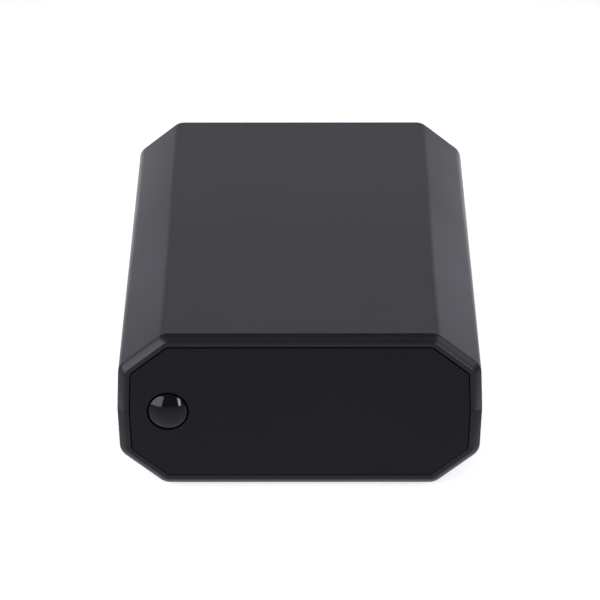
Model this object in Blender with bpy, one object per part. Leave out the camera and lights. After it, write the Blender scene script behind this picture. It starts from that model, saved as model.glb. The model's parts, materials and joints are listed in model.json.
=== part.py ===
"""A bench-top USB logic analyzer, as the separate pieces that it is put together from.

An octagonal plastic case is split at mid-height into two shells, which four screws from below
pull together. Their end rims hold a front panel with one sprung push button, and a rear panel
with a USB type B socket and two probe headers. The circuit board stands on pillars inside.

Metres, +Z up, the front panel faces -Y. The origin is on the bench, under the middle.
"""

import math

import bmesh
import bpy
from mathutils import Matrix, Vector

MM = 0.001
GAP = 0.3 * MM  # left between pieces that touch

# Case: the section is an octagon whose sides lean inwards, up and down, from the seam
CASE_WIDTH = 100.0 * MM
CASE_HEIGHT = 46.0 * MM
CASE_LENGTH = 150.0 * MM
FOOT_HEIGHT = 1.2 * MM
SIDE_HALF_HEIGHT = 13.2 * MM
SIDE_DRAFT = 0.0386
CHAMFER_WIDTH = 12.2 * MM
WALL = 2.4 * MM
SEAM_Z = FOOT_HEIGHT + CASE_HEIGHT / 2
BOTTOM_Z = FOOT_HEIGHT
TOP_Z = FOOT_HEIGHT + CASE_HEIGHT

# End rims, with distances back from the rim's flat lip and in from the case's outline
LIP_Y = CASE_LENGTH / 2
BEVEL_DEPTH = 2.0 * MM
BEVEL_INSET = 2.25 * MM
BEVEL_BULGE = 0.2 * MM
BEVEL_STEPS = 4
LIP_INSET = 3.15 * MM
GROOVE_START = 1.7 * MM
GROOVE_END = 4.0 * MM
GROOVE_INSET = 1.7 * MM
RIB_END = 5.4 * MM
RIB_INSET = 4.6 * MM

# Lip along the bottom shell's seam that lines the shells up
ALIGN_INSET = (2.1 * MM, 3.8 * MM)
ALIGN_BELOW = 3.2 * MM
ALIGN_ABOVE = 1.3 * MM
ALIGN_END_Y = 68.0 * MM

# Panels
PANEL_RECESS = 0.3 * MM
PANEL_INSET = LIP_INSET + GAP
FLANGE_INSET = GROOVE_INSET + GAP

# Screws that hold the case together
CASE_SCREW_XY = (31.0 * MM, 49.0 * MM)
BOSS_RADIUS = 3.6 * MM
PILOT_RADIUS = 1.6 * MM
HEAD_RECESS_RADIUS = 2.8 * MM
HEAD_RECESS_DEPTH = 3.4 * MM
CASE_SCREW_LENGTH = 26.0 * MM

# Feet
FOOT_XY = (30.0 * MM, 62.0 * MM)
FOOT_RADIUS = 4.7 * MM
FOOT_RECESS = 0.8 * MM

# Circuit board
BOARD_X = 43.0 * MM
BOARD_FRONT_Y = -66.5 * MM
BOARD_REAR_Y = 68.0 * MM
BOARD_CORNER = 2.5 * MM
BOARD_TOP_Z = 20.0 * MM
BOARD_THICKNESS = 1.6 * MM
BOARD_SCREW_XY = (33.0 * MM, 24.0 * MM)
PILLAR_RADIUS = 3.0 * MM
PILLAR_PILOT_RADIUS = 1.4 * MM
BOARD_SCREW_LENGTH = 8.0 * MM
PART_Z = BOARD_TOP_Z + GAP  # underside of the parts on the board

# Start button and its switch, on one axis along Y
BUTTON_X = -36.1 * MM
BUTTON_Z = SEAM_Z
BUTTON_RADIUS = 5.25 * MM
BUTTON_HOLE_RADIUS = 5.75 * MM
BUTTON_TRAVEL = 1.5 * MM
DOME_BASE_Y = -LIP_Y + 0.2 * MM
DOME_HEIGHT = 1.7 * MM
DOME_STEPS = 6
CAP_FLANGE_RADIUS = 6.8 * MM
CAP_FLANGE_THICKNESS = 1.2 * MM
CAP_BOSS_RADIUS = 3.0 * MM
CAP_BOSS_LENGTH = 3.8 * MM
PLUNGER_RADIUS = 1.6 * MM
STEM_RADIUS = 1.0 * MM
STEM_LENGTH = 3.5 * MM
SWITCH_FRONT_Y = -62.0 * MM
SWITCH_SIZE = (8.0 * MM, 9.5 * MM)
SWITCH_WALL = 1.0 * MM
SWITCH_CHAMBER_RADIUS = 3.0 * MM
COLLAR_RADIUS = 2.6 * MM
COLLAR_THICKNESS = 1.2 * MM
SPRING_RADIUS = 2.1 * MM
SPRING_WIRE_RADIUS = 0.22 * MM
SPRING_TURNS = 3.5
SPRING_STEPS = 14
SPRING_SIDES = 6

# USB type B socket
USB_X = 32.0 * MM
USB_WIDTH = 12.0 * MM
USB_HEIGHT = 11.0 * MM
USB_DEPTH = 16.4 * MM
USB_FACE_Y = LIP_Y + 0.3 * MM
USB_OPENING = (8.45 * MM, 7.78 * MM)
USB_OPENING_DEPTH = 12.0 * MM
USB_OPENING_CORNER = 1.9 * MM
TONGUE = (5.6 * MM, 3.2 * MM, 9.0 * MM)

# Probe headers, two rows of pins in a shroud
HEADER_X = (-28.0 * MM, 4.0 * MM)
HEADER_COLUMNS = 8
PIN_PITCH = 2.54 * MM
PIN_SIZE = 0.64 * MM
HEADER_WIDTH = HEADER_COLUMNS * PIN_PITCH + 7.7 * MM
HEADER_HEIGHT = 9.0 * MM
HEADER_DEPTH = 9.0 * MM
HEADER_WALL = 1.25 * MM
HEADER_FACE_Y = LIP_Y + 1.5 * MM
HEADER_FLOOR = 2.5 * MM
KEY_WIDTH = 4.5 * MM
PIN_TAIL_Y = HEADER_FACE_Y - HEADER_DEPTH - 2.0 * MM

# Sides of the round pieces
ROUND_SIDES = 24
SMALL_SIDES = 20
BUTTON_SIDES = 32


def clear_scene():
    for obj in list(bpy.data.objects):
        bpy.data.objects.remove(obj)


def material(name, color, roughness, metallic=0.0):
    made = bpy.data.materials.new(name)
    made.use_nodes = True
    shader = made.node_tree.nodes["Principled BSDF"]
    shader.inputs["Base Color"].default_value = (*color, 1.0)
    shader.inputs["Roughness"].default_value = roughness
    shader.inputs["Metallic"].default_value = metallic
    return made


def new_object(name, bm, finish, smooth=False):
    """An object from a bmesh, with its faces pointing out."""
    bmesh.ops.recalc_face_normals(bm, faces=bm.faces)
    mesh = bpy.data.meshes.new(name)
    bm.to_mesh(mesh)
    bm.free()
    if finish:
        mesh.materials.append(finish)
    if smooth:
        mesh.shade_smooth()
        mesh.set_sharp_from_angle(angle=math.radians(35))
    obj = bpy.data.objects.new(name, mesh)
    bpy.context.scene.collection.objects.link(obj)
    return obj


def boolean(obj, operation, bm):
    """Adds a Boolean modifier, with the bmesh as a hidden operand."""
    helper = new_object(f"{obj.name}_{operation.lower()}_{len(obj.modifiers)}", bm, None)
    helper.hide_render = True
    helper.display_type = "WIRE"
    modifier = obj.modifiers.new(operation.capitalize(), "BOOLEAN")
    modifier.operation = operation
    modifier.object = helper


def bevel_edges(obj, width):
    modifier = obj.modifiers.new("Bevel", "BEVEL")
    modifier.width = width
    modifier.segments = 1


def add_box(bm, low, high):
    size = Vector(high) - Vector(low)
    middle = (Vector(high) + Vector(low)) / 2
    place = Matrix.Translation(middle) @ Matrix.Diagonal((*size, 1.0))
    bmesh.ops.create_cube(bm, size=1.0, matrix=place)


def add_prism(bm, outline, start, end, along="Y"):
    """A solid between two planes across an axis, from the corners' other two coordinates in X, Y, Z order."""
    axis = "XYZ".index(along)
    low, high = (
        [bm.verts.new((*corner[:axis], level, *corner[axis:])) for corner in outline]
        for level in (start, end)
    )
    bm.faces.new(low)
    bm.faces.new(reversed(high))
    for i in range(len(outline)):
        j = (i + 1) % len(outline)
        bm.faces.new((low[i], high[i], high[j], low[j]))


def add_turned(bm, profile, along="Z", centre=(0.0, 0.0, 0.0), sides=ROUND_SIDES):
    """A turned solid about Y or Z, from (height, radius) points that start and end on the axis."""
    rings = []
    for height, radius in profile:
        count = sides if radius else 1
        ring = []
        for i in range(count):
            turn = 2 * math.pi * i / count
            u, v = radius * math.cos(turn), radius * math.sin(turn)
            local = (u, v, height) if along == "Z" else (u, height, v)
            ring.append(bm.verts.new(Vector(local) + Vector(centre)))
        rings.append(ring)
    for low, high in zip(rings, rings[1:]):
        for i in range(sides):
            j = (i + 1) % sides
            corners = [low[i % len(low)], low[j % len(low)], high[j % len(high)], high[i % len(high)]]
            bm.faces.new(list(dict.fromkeys(corners)))


def add_rod(bm, x, y, low, high, radius, sides=ROUND_SIDES):
    """An upright round rod."""
    profile = [(low, 0.0), (low, radius), (high, radius), (high, 0.0)]
    add_turned(bm, profile, centre=(x, y, 0.0), sides=sides)


def four_corners(xy):
    """(name, x, y) for a piece near each corner of the case."""
    x, y = xy
    return [
        (f"{end}_{side}", side_x, end_y)
        for end, end_y in (("front", -y), ("rear", y))
        for side, side_x in (("left", -x), ("right", x))
    ]


def case_section(inset=0.0):
    """The ten (x, z) corners of the case's section, moved inwards, from the right end of the seam."""
    half_width = CASE_WIDTH / 2
    side_x = half_width - SIDE_DRAFT * SIDE_HALF_HEIGHT
    quarter = [(half_width, 0.0), (side_x, SIDE_HALF_HEIGHT), (side_x - CHAMFER_WIDTH, CASE_HEIGHT / 2)]
    upper = quarter + [(-x, z) for x, z in reversed(quarter)]
    corners = [Vector(point) for point in upper + [(-x, -z) for x, z in upper[1:-1]]]
    moved = []
    for i, corner in enumerate(corners):
        before = (corner - corners[i - 1]).normalized()
        after = (corners[(i + 1) % len(corners)] - corner).normalized()
        inwards = Vector((-before.y, before.x)), Vector((-after.y, after.x))
        moved.append(corner + inset * (inwards[0] + inwards[1]) / (1 + inwards[0].dot(inwards[1])))
    return [(x, z + SEAM_Z) for x, z in moved]


def half_section(inset, upper):
    """The corners of one shell's half of the section, ending half a gap from the seam."""
    points = case_section(inset)[:6]
    if not upper:
        points = [(x, 2 * SEAM_Z - z) for x, z in points]
    towards = 1 if upper else -1
    ends = []
    for (x, _), (next_x, next_z) in ((points[0], points[1]), (points[5], points[4])):
        share = towards * GAP / 2 / (next_z - SEAM_Z)
        ends.append((x + share * (next_x - x), SEAM_Z + towards * GAP / 2))
    return [ends[0], *points[1:5], ends[1]]


def rim_profile():
    """(y, inset) points of one end rim, from the outside of the case to the inside of its wall.
    The bevel starts at a crease and swells a little before it meets the flat lip."""
    crease, lip = Vector((BEVEL_DEPTH, 0.0)), Vector((0.0, BEVEL_INSET))
    outwards = Vector((-BEVEL_INSET, -BEVEL_DEPTH)).normalized()
    bevel = []
    for step in range(BEVEL_STEPS + 1):
        share = step / BEVEL_STEPS
        swell = 4 * share * (1 - share) * BEVEL_BULGE
        bevel.append(crease.lerp(lip, share) + swell * outwards)
    inside = [
        (0.0, LIP_INSET),
        (GROOVE_START, LIP_INSET),
        (GROOVE_START, GROOVE_INSET),
        (GROOVE_END, GROOVE_INSET),
        (GROOVE_END, RIB_INSET),
        (RIB_END, RIB_INSET),
        (RIB_END, WALL),
    ]
    return [(back - LIP_Y, inset) for back, inset in bevel + inside]


def shell(name, upper, finish):
    """One half of the case: the wall with its rims, swept along half of the section."""
    front = rim_profile()
    profile = front + [(-y, inset) for y, inset in reversed(front)]
    bm = bmesh.new()
    stations = [half_section(inset, upper) for _, inset in profile]
    rings = []
    for i in range(len(stations[0])):
        points = [(section[i][0], y, section[i][1]) for (y, _), section in zip(profile, stations)]
        rings.append([bm.verts.new(point) for point in points])
    count = len(profile)
    for ring, following in zip(rings, rings[1:]):
        for i in range(count):
            j = (i + 1) % count
            bm.faces.new((ring[i], ring[j], following[j], following[i]))
    bm.faces.new(rings[0])
    bm.faces.new(rings[-1])
    return new_object(name, bm, finish)


def bottom_shell(finish):
    obj = shell("bottom_shell", False, finish)
    posts, holes = bmesh.new(), bmesh.new()
    seat_z = BOTTOM_Z + HEAD_RECESS_DEPTH
    for _, x, y in four_corners(CASE_SCREW_XY):
        add_rod(posts, x, y, BOTTOM_Z + WALL / 2, SEAM_Z - GAP, BOSS_RADIUS)
        recess = [(BOTTOM_Z - WALL, 0.0), (BOTTOM_Z - WALL, HEAD_RECESS_RADIUS), (seat_z, HEAD_RECESS_RADIUS)]
        shaft = [(seat_z, PILOT_RADIUS), (SEAM_Z + WALL, PILOT_RADIUS), (SEAM_Z + WALL, 0.0)]
        add_turned(holes, recess + shaft, centre=(x, y, 0.0))
    pillar_top = BOARD_TOP_Z - BOARD_THICKNESS - GAP
    for _, x, y in four_corners(BOARD_SCREW_XY):
        add_rod(posts, x, y, BOTTOM_Z + WALL / 2, pillar_top, PILLAR_RADIUS)
        low = pillar_top - BOARD_SCREW_LENGTH
        add_rod(holes, x, y, low, pillar_top + WALL, PILLAR_PILOT_RADIUS)
    for _, x, y in four_corners(FOOT_XY):
        add_rod(holes, x, y, BOTTOM_Z - WALL, BOTTOM_Z + FOOT_RECESS, FOOT_RADIUS + GAP)
    outer, inner = (CASE_WIDTH / 2 - inset for inset in ALIGN_INSET)
    clear, step_z = CASE_WIDTH / 2 - WALL - GAP, SEAM_Z - GAP
    for side in (-1, 1):
        lip = [(inner, SEAM_Z - ALIGN_BELOW), (outer, SEAM_Z - ALIGN_BELOW), (outer, step_z)]
        lip += [(clear, step_z), (clear, SEAM_Z + ALIGN_ABOVE), (inner, SEAM_Z + ALIGN_ABOVE)]
        add_prism(posts, [(side * x, z) for x, z in lip], -ALIGN_END_Y, ALIGN_END_Y)
    boolean(obj, "UNION", posts)
    boolean(obj, "DIFFERENCE", holes)


def top_shell(finish):
    obj = shell("top_shell", True, finish)
    posts, holes = bmesh.new(), bmesh.new()
    hole_top = BOTTOM_Z + HEAD_RECESS_DEPTH + CASE_SCREW_LENGTH + PILOT_RADIUS
    for _, x, y in four_corners(CASE_SCREW_XY):
        add_rod(posts, x, y, SEAM_Z + GAP, TOP_Z - WALL / 2, BOSS_RADIUS)
        add_rod(holes, x, y, SEAM_Z - WALL, hole_top, PILOT_RADIUS)
    boolean(obj, "UNION", posts)
    boolean(obj, "DIFFERENCE", holes)


def panel(name, end, cutouts, finish):
    """An end panel: a plate that shows inside the lip, with a flange behind it in the rims' groove."""
    face, step, back = (
        end * (LIP_Y - distance)
        for distance in (PANEL_RECESS, GROOVE_START + GAP, GROOVE_END - GAP)
    )
    bm = bmesh.new()
    add_prism(bm, case_section(PANEL_INSET), face, (step + back) / 2)
    obj = new_object(name, bm, finish)
    flange = bmesh.new()
    add_prism(flange, case_section(FLANGE_INSET), step, back)
    boolean(obj, "UNION", flange)
    boolean(obj, "DIFFERENCE", cutouts)


def front_panel(finish):
    hole = bmesh.new()
    ends = [(-LIP_Y - WALL, 0.0), (-LIP_Y - WALL, BUTTON_HOLE_RADIUS)]
    ends += [(-LIP_Y + 3 * WALL, BUTTON_HOLE_RADIUS), (-LIP_Y + 3 * WALL, 0.0)]
    add_turned(hole, ends, "Y", (BUTTON_X, 0.0, BUTTON_Z), sides=BUTTON_SIDES)
    panel("front_panel", -1, hole, finish)


def rear_panel(finish):
    slots = bmesh.new()
    places = [(x, HEADER_WIDTH, HEADER_HEIGHT) for x in HEADER_X] + [(USB_X, USB_WIDTH, USB_HEIGHT)]
    for x, width, height in places:
        low = (x - width / 2 - GAP, LIP_Y - 3 * WALL, PART_Z - GAP)
        high = (x + width / 2 + GAP, LIP_Y + WALL, PART_Z + height + GAP)
        add_box(slots, low, high)
    panel("rear_panel", 1, slots, finish)


def feet(finish):
    for corner, x, y in four_corners(FOOT_XY):
        top = BOTTOM_Z + FOOT_RECESS - GAP
        edge = 0.4 * MM
        bm = bmesh.new()
        profile = [(0.0, 0.0), (0.0, FOOT_RADIUS - edge), (edge, FOOT_RADIUS), (top, FOOT_RADIUS), (top, 0.0)]
        add_turned(bm, profile)
        new_object(f"foot_{corner}", bm, finish, smooth=True).location = (x, y, 0.0)


def screw(name, place, length, shank_radius, points_up, finish):
    """A pan-head screw whose origin is under its head, with a cross recess in the head."""
    head_radius, head_height, crown_radius, rim_height = 2.4 * MM, 1.7 * MM, 1.45 * MM, 1.0 * MM
    recess_depth, arm_length, arm_width = 0.9 * MM, 1.5 * MM, 0.5 * MM
    bm = bmesh.new()
    head = [(head_height, 0.0), (head_height, crown_radius), (rim_height, head_radius)]
    shank = [(0.0, head_radius), (0.0, shank_radius), (-length + shank_radius, shank_radius), (-length, 0.0)]
    add_turned(bm, head + shank, sides=SMALL_SIDES)
    obj = new_object(name, bm, finish, smooth=True)
    obj.location = place
    obj.rotation_euler.x = math.pi if points_up else 0.0
    quarter = [(arm_length, arm_width), (arm_width, arm_width), (arm_width, arm_length)]
    cross = quarter + [(-x, y) for x, y in reversed(quarter)]
    cross += [(-x, -y) for x, y in quarter] + [(x, -y) for x, y in reversed(quarter)]
    recess = bmesh.new()
    add_prism(recess, cross, -recess_depth, recess_depth, "Z")
    boolean(obj, "DIFFERENCE", recess)
    helper = obj.modifiers[-1].object
    helper.parent = obj
    helper.location.z = head_height


def case_screws(finish):
    for corner, x, y in four_corners(CASE_SCREW_XY):
        place = (x, y, BOTTOM_Z + HEAD_RECESS_DEPTH - GAP)
        screw(f"case_screw_{corner}", place, CASE_SCREW_LENGTH, PILOT_RADIUS - GAP, True, finish)


def board_screws(finish):
    for corner, x, y in four_corners(BOARD_SCREW_XY):
        place = (x, y, PART_Z)
        screw(f"board_screw_{corner}", place, BOARD_SCREW_LENGTH, PILLAR_PILOT_RADIUS - GAP, False, finish)


def circuit_board(finish):
    """The main board: clipped corners, screw holes, and wide holes that the case's bosses pass through."""
    x, front, rear, cut = BOARD_X, BOARD_FRONT_Y, BOARD_REAR_Y, BOARD_CORNER
    right = [(x - cut, front), (x, front + cut), (x, rear - cut), (x - cut, rear)]
    outline = right + [(-px, py) for px, py in reversed(right)]
    bm = bmesh.new()
    face = bm.faces.new([bm.verts.new((px, py, BOARD_TOP_Z - BOARD_THICKNESS)) for px, py in outline])
    made = bmesh.ops.extrude_face_region(bm, geom=[face])
    lifted = [item for item in made["geom"] if isinstance(item, bmesh.types.BMVert)]
    bmesh.ops.translate(bm, vec=(0.0, 0.0, BOARD_THICKNESS), verts=lifted)
    obj = new_object("main_circuit_board", bm, finish)
    holes = bmesh.new()
    low, high = BOARD_TOP_Z - 2 * BOARD_THICKNESS, BOARD_TOP_Z + BOARD_THICKNESS
    for _, px, py in four_corners(CASE_SCREW_XY):
        add_rod(holes, px, py, low, high, BOSS_RADIUS + 2 * GAP)
    for _, px, py in four_corners(BOARD_SCREW_XY):
        add_rod(holes, px, py, low, high, PILLAR_PILOT_RADIUS, sides=16)
    boolean(obj, "DIFFERENCE", holes)


def board_block(name, x, y, size, edge, finish):
    """A low rectangular part on the board, with its edges broken."""
    half_x, half_y = size[0] / 2, size[1] / 2
    bm = bmesh.new()
    add_box(bm, (-half_x, -half_y, 0.0), (half_x, half_y, size[2]))
    obj = new_object(name, bm, finish)
    obj.location = (x, y, PART_Z)
    bevel_edges(obj, edge)


def board_can(name, x, y, radius, height, finish):
    """An upright electrolytic capacitor, with a neck rolled in above its foot and a broken top edge."""
    foot, roll, neck_depth, edge = 0.9 * MM, 0.9 * MM, 0.45 * MM, 0.3 * MM
    neck = (foot + roll / 2, radius - neck_depth)
    profile = [(0.0, 0.0), (0.0, radius), (foot, radius), neck, (foot + roll, radius)]
    profile += [(height - edge, radius), (height, radius - edge), (height, 0.0)]
    bm = bmesh.new()
    add_turned(bm, profile)
    new_object(name, bm, finish, smooth=True).location = (x, y, PART_Z)


def board_parts(plastic, metal, ferrite):
    """What is soldered to the board, apart from the switch and the connectors."""
    chip_edge = 0.15 * MM
    chips = (
        ("fpga_chip", 0.0, 2.0, (20.0, 20.0, 1.4)),
        ("sample_memory_chip_1", -22.0, 2.0, (10.2, 18.4, 1.1)),
        ("sample_memory_chip_2", 21.0, 2.0, (10.2, 18.4, 1.1)),
        ("usb_controller_chip", 19.5, 47.0, (9.0, 9.0, 1.1)),
        ("input_buffer_chip_1", -36.5, 38.0, (10.0, 6.0, 1.8)),
        ("input_buffer_chip_2", -22.0, 38.0, (10.0, 6.0, 1.8)),
        ("input_buffer_chip_3", -8.0, 38.0, (10.0, 6.0, 1.8)),
        ("input_buffer_chip_4", 6.0, 38.0, (10.0, 6.0, 1.8)),
        ("resistor_network_1", -20.5, 50.0, (10.2, 2.2, 5.0)),
        ("resistor_network_2", -20.5, 55.0, (10.2, 2.2, 5.0)),
        ("resistor_network_3", 0.0, 50.0, (10.2, 2.2, 5.0)),
        ("resistor_network_4", 0.0, 55.0, (10.2, 2.2, 5.0)),
        ("configuration_memory_chip", 0.0, -16.0, (5.0, 4.0, 1.7)),
        ("voltage_regulator", 22.0, 30.0, (6.5, 3.5, 1.7)),
        ("reset_fuse", 23.5, 58.5, (3.2, 4.6, 1.0)),
    )
    for name, x, y, size in chips:
        board_block(name, x * MM, y * MM, [side * MM for side in size], chip_edge, plastic)
    board_block("clock_oscillator", 0.0, 22.0 * MM, (5.0 * MM, 7.0 * MM, 1.6 * MM), 0.4 * MM, metal)
    board_block("usb_crystal", 21.0 * MM, 38.0 * MM, (11.0 * MM, 4.6 * MM, 3.6 * MM), 1.2 * MM, metal)
    board_block("power_inductor", 12.0 * MM, 27.0 * MM, (7.0 * MM, 7.0 * MM, 3.6 * MM), 0.9 * MM, ferrite)
    for name, y in (("filter_capacitor_1", 33.0), ("filter_capacitor_2", 41.0)):
        board_can(name, 39.0 * MM, y * MM, 3.15 * MM, 7.7 * MM, metal)


def button_cap(finish, joint):
    """The domed cap, with the flange that keeps it behind the panel and a socket for the plunger."""
    rim_y = DOME_BASE_Y
    sphere = (BUTTON_RADIUS**2 + DOME_HEIGHT**2) / (2 * DOME_HEIGHT)
    widest = math.asin(BUTTON_RADIUS / sphere)
    dome = []
    for step in range(DOME_STEPS + 1):
        turn = widest * step / DOME_STEPS
        dome.append((rim_y - DOME_HEIGHT + sphere * (1 - math.cos(turn)), sphere * math.sin(turn)))
    flange_front = -LIP_Y + GROOVE_END
    flange_back = flange_front + CAP_FLANGE_THICKNESS
    boss_end = flange_back + CAP_BOSS_LENGTH
    socket = PLUNGER_RADIUS + GAP
    profile = dome + [
        (flange_front, BUTTON_RADIUS),
        (flange_front, CAP_FLANGE_RADIUS),
        (flange_back, CAP_FLANGE_RADIUS),
        (flange_back, CAP_BOSS_RADIUS),
        (boss_end, CAP_BOSS_RADIUS),
        (boss_end, socket),
        (flange_back + GAP, socket),
        (flange_back + GAP, 0.0),
    ]
    bm = bmesh.new()
    add_turned(bm, [(y - rim_y, radius) for y, radius in profile], "Y", sides=BUTTON_SIDES)
    obj = new_object("start_button_cap", bm, finish, smooth=True)
    obj.parent = joint
    obj.location.y = rim_y - joint.location.y


def switch_plunger(finish, joint):
    """The switch's own plunger: its tip in the cap, its collar behind the switch's front wall."""
    tip = -LIP_Y + GROOVE_END + CAP_FLANGE_THICKNESS + 2 * GAP
    collar = SWITCH_FRONT_Y + SWITCH_WALL + GAP
    stem_end = collar + COLLAR_THICKNESS + STEM_LENGTH
    profile = [
        (tip, 0.0),
        (tip, PLUNGER_RADIUS),
        (collar, PLUNGER_RADIUS),
        (collar, COLLAR_RADIUS),
        (collar + COLLAR_THICKNESS, COLLAR_RADIUS),
        (collar + COLLAR_THICKNESS, STEM_RADIUS),
        (stem_end, STEM_RADIUS),
        (stem_end, 0.0),
    ]
    bm = bmesh.new()
    add_turned(bm, [(y - collar, radius) for y, radius in profile], "Y", sides=SMALL_SIDES)
    obj = new_object("start_switch_plunger", bm, finish, smooth=True)
    obj.parent = joint
    obj.location.y = collar - joint.location.y


def switch_body(finish):
    """The push switch's housing, with a chamber that is open round the plunger."""
    width, depth = SWITCH_SIZE
    bm = bmesh.new()
    low = (BUTTON_X - width / 2, SWITCH_FRONT_Y, PART_Z)
    high = (BUTTON_X + width / 2, SWITCH_FRONT_Y + depth, 2 * BUTTON_Z - PART_Z)
    add_box(bm, low, high)
    obj = new_object("start_switch_body", bm, finish)
    chamber_front, chamber_back = SWITCH_FRONT_Y + SWITCH_WALL, SWITCH_FRONT_Y + depth - SWITCH_WALL
    hole = PLUNGER_RADIUS + GAP
    profile = [
        (SWITCH_FRONT_Y - SWITCH_WALL, 0.0),
        (SWITCH_FRONT_Y - SWITCH_WALL, hole),
        (chamber_front, hole),
        (chamber_front, SWITCH_CHAMBER_RADIUS),
        (chamber_back, SWITCH_CHAMBER_RADIUS),
        (chamber_back, 0.0),
    ]
    chamber = bmesh.new()
    add_turned(chamber, profile, "Y", (BUTTON_X, 0.0, BUTTON_Z), sides=SMALL_SIDES)
    boolean(obj, "DIFFERENCE", chamber)


def switch_spring(finish):
    """The return spring round the plunger's stem, at the length it has when the button is down."""
    collar_back = SWITCH_FRONT_Y + SWITCH_WALL + GAP + COLLAR_THICKNESS
    start = collar_back + BUTTON_TRAVEL + GAP + SPRING_WIRE_RADIUS
    end = SWITCH_FRONT_Y + SWITCH_SIZE[1] - SWITCH_WALL - GAP - SPRING_WIRE_RADIUS
    steps = int(SPRING_TURNS * SPRING_STEPS)
    bm = bmesh.new()
    rings = []
    for step in range(steps + 1):
        turn = 2 * math.pi * step / SPRING_STEPS
        outward = Vector((math.cos(turn), 0.0, math.sin(turn)))
        middle = SPRING_RADIUS * outward + Vector((BUTTON_X, start + (end - start) * step / steps, BUTTON_Z))
        ring = []
        for side in range(SPRING_SIDES):
            angle = 2 * math.pi * side / SPRING_SIDES
            offset = math.cos(angle) * outward + math.sin(angle) * Vector((0.0, 1.0, 0.0))
            ring.append(bm.verts.new(middle + SPRING_WIRE_RADIUS * offset))
        rings.append(ring)
    for ring, following in zip(rings, rings[1:]):
        for i in range(SPRING_SIDES):
            j = (i + 1) % SPRING_SIDES
            bm.faces.new((ring[i], ring[j], following[j], following[i]))
    bm.faces.new(rings[0])
    bm.faces.new(rings[-1])
    new_object("start_switch_spring", bm, finish, smooth=True)


def start_button(glossy, white, black, steel):
    """The button's moving pieces, under an empty on the joint's axis, and its switch."""
    joint = bpy.data.objects.new("start_button_axis", None)
    joint.location = (BUTTON_X, -LIP_Y, BUTTON_Z)
    bpy.context.scene.collection.objects.link(joint)
    button_cap(glossy, joint)
    switch_plunger(white, joint)
    switch_body(black)
    switch_spring(steel)


def usb_socket(plated, white):
    """A type B socket: a plated shell, with the insulating tongue standing in its opening."""
    middle_z = PART_Z + USB_HEIGHT / 2
    inner_y = USB_FACE_Y - USB_OPENING_DEPTH
    bm = bmesh.new()
    low = (USB_X - USB_WIDTH / 2, USB_FACE_Y - USB_DEPTH, PART_Z)
    add_box(bm, low, (USB_X + USB_WIDTH / 2, USB_FACE_Y, PART_Z + USB_HEIGHT))
    obj = new_object("usb_socket_shell", bm, plated)
    half_x, half_z, cut = USB_OPENING[0] / 2, USB_OPENING[1] / 2, USB_OPENING_CORNER
    outline = [(-half_x, -half_z), (half_x, -half_z), (half_x, half_z - cut), (half_x - cut, half_z)]
    outline += [(-half_x + cut, half_z), (-half_x, half_z - cut)]
    opening = bmesh.new()
    add_prism(opening, [(USB_X + x, middle_z + z) for x, z in outline], inner_y, USB_FACE_Y + WALL)
    boolean(obj, "DIFFERENCE", opening)
    tongue = bmesh.new()
    half_x, half_z = TONGUE[0] / 2, TONGUE[1] / 2
    add_box(tongue, (-half_x, 0.0, -half_z), (half_x, TONGUE[2], half_z))
    obj = new_object("usb_socket_tongue", tongue, white)
    obj.location = (USB_X, inner_y + GAP, middle_z)
    bevel_edges(obj, 0.3 * MM)


def probe_header(name, x, finish):
    """A shrouded header with its pins, which are moulded into its floor and turn down to the board."""
    bm = bmesh.new()
    half_width = HEADER_WIDTH / 2
    back_y, floor_y = HEADER_FACE_Y - HEADER_DEPTH, HEADER_FACE_Y - HEADER_DEPTH + HEADER_FLOOR
    top_z = PART_Z + HEADER_HEIGHT
    add_box(bm, (x - half_width, back_y, PART_Z), (x + half_width, HEADER_FACE_Y, top_z))
    obj = new_object(name, bm, finish)
    cavity = bmesh.new()
    low = (x - half_width + HEADER_WALL, floor_y, PART_Z + HEADER_WALL)
    add_box(cavity, low, (x + half_width - HEADER_WALL, HEADER_FACE_Y + WALL, top_z - HEADER_WALL))
    boolean(obj, "DIFFERENCE", cavity)
    key = bmesh.new()
    low = (x - KEY_WIDTH / 2, floor_y, top_z - 2 * HEADER_WALL)
    add_box(key, low, (x + KEY_WIDTH / 2, HEADER_FACE_Y + WALL, top_z + HEADER_WALL))
    boolean(obj, "DIFFERENCE", key)
    pins = bmesh.new()
    half = PIN_SIZE / 2
    tip_y = HEADER_FACE_Y - HEADER_WALL
    for column in range(HEADER_COLUMNS):
        pin_x = x + (column - (HEADER_COLUMNS - 1) / 2) * PIN_PITCH
        for row in (0, 1):
            pin_z = PART_Z + HEADER_HEIGHT / 2 + (row - 0.5) * PIN_PITCH
            tail_y = PIN_TAIL_Y - row * PIN_PITCH
            outline = [(tip_y, pin_z + half), (tip_y, pin_z - half), (tail_y + half, pin_z - half)]
            outline += [(tail_y + half, PART_Z), (tail_y - half, PART_Z), (tail_y - half, pin_z + half)]
            add_prism(pins, outline, pin_x - half, pin_x + half, "X")
    boolean(obj, "UNION", pins)


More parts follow.
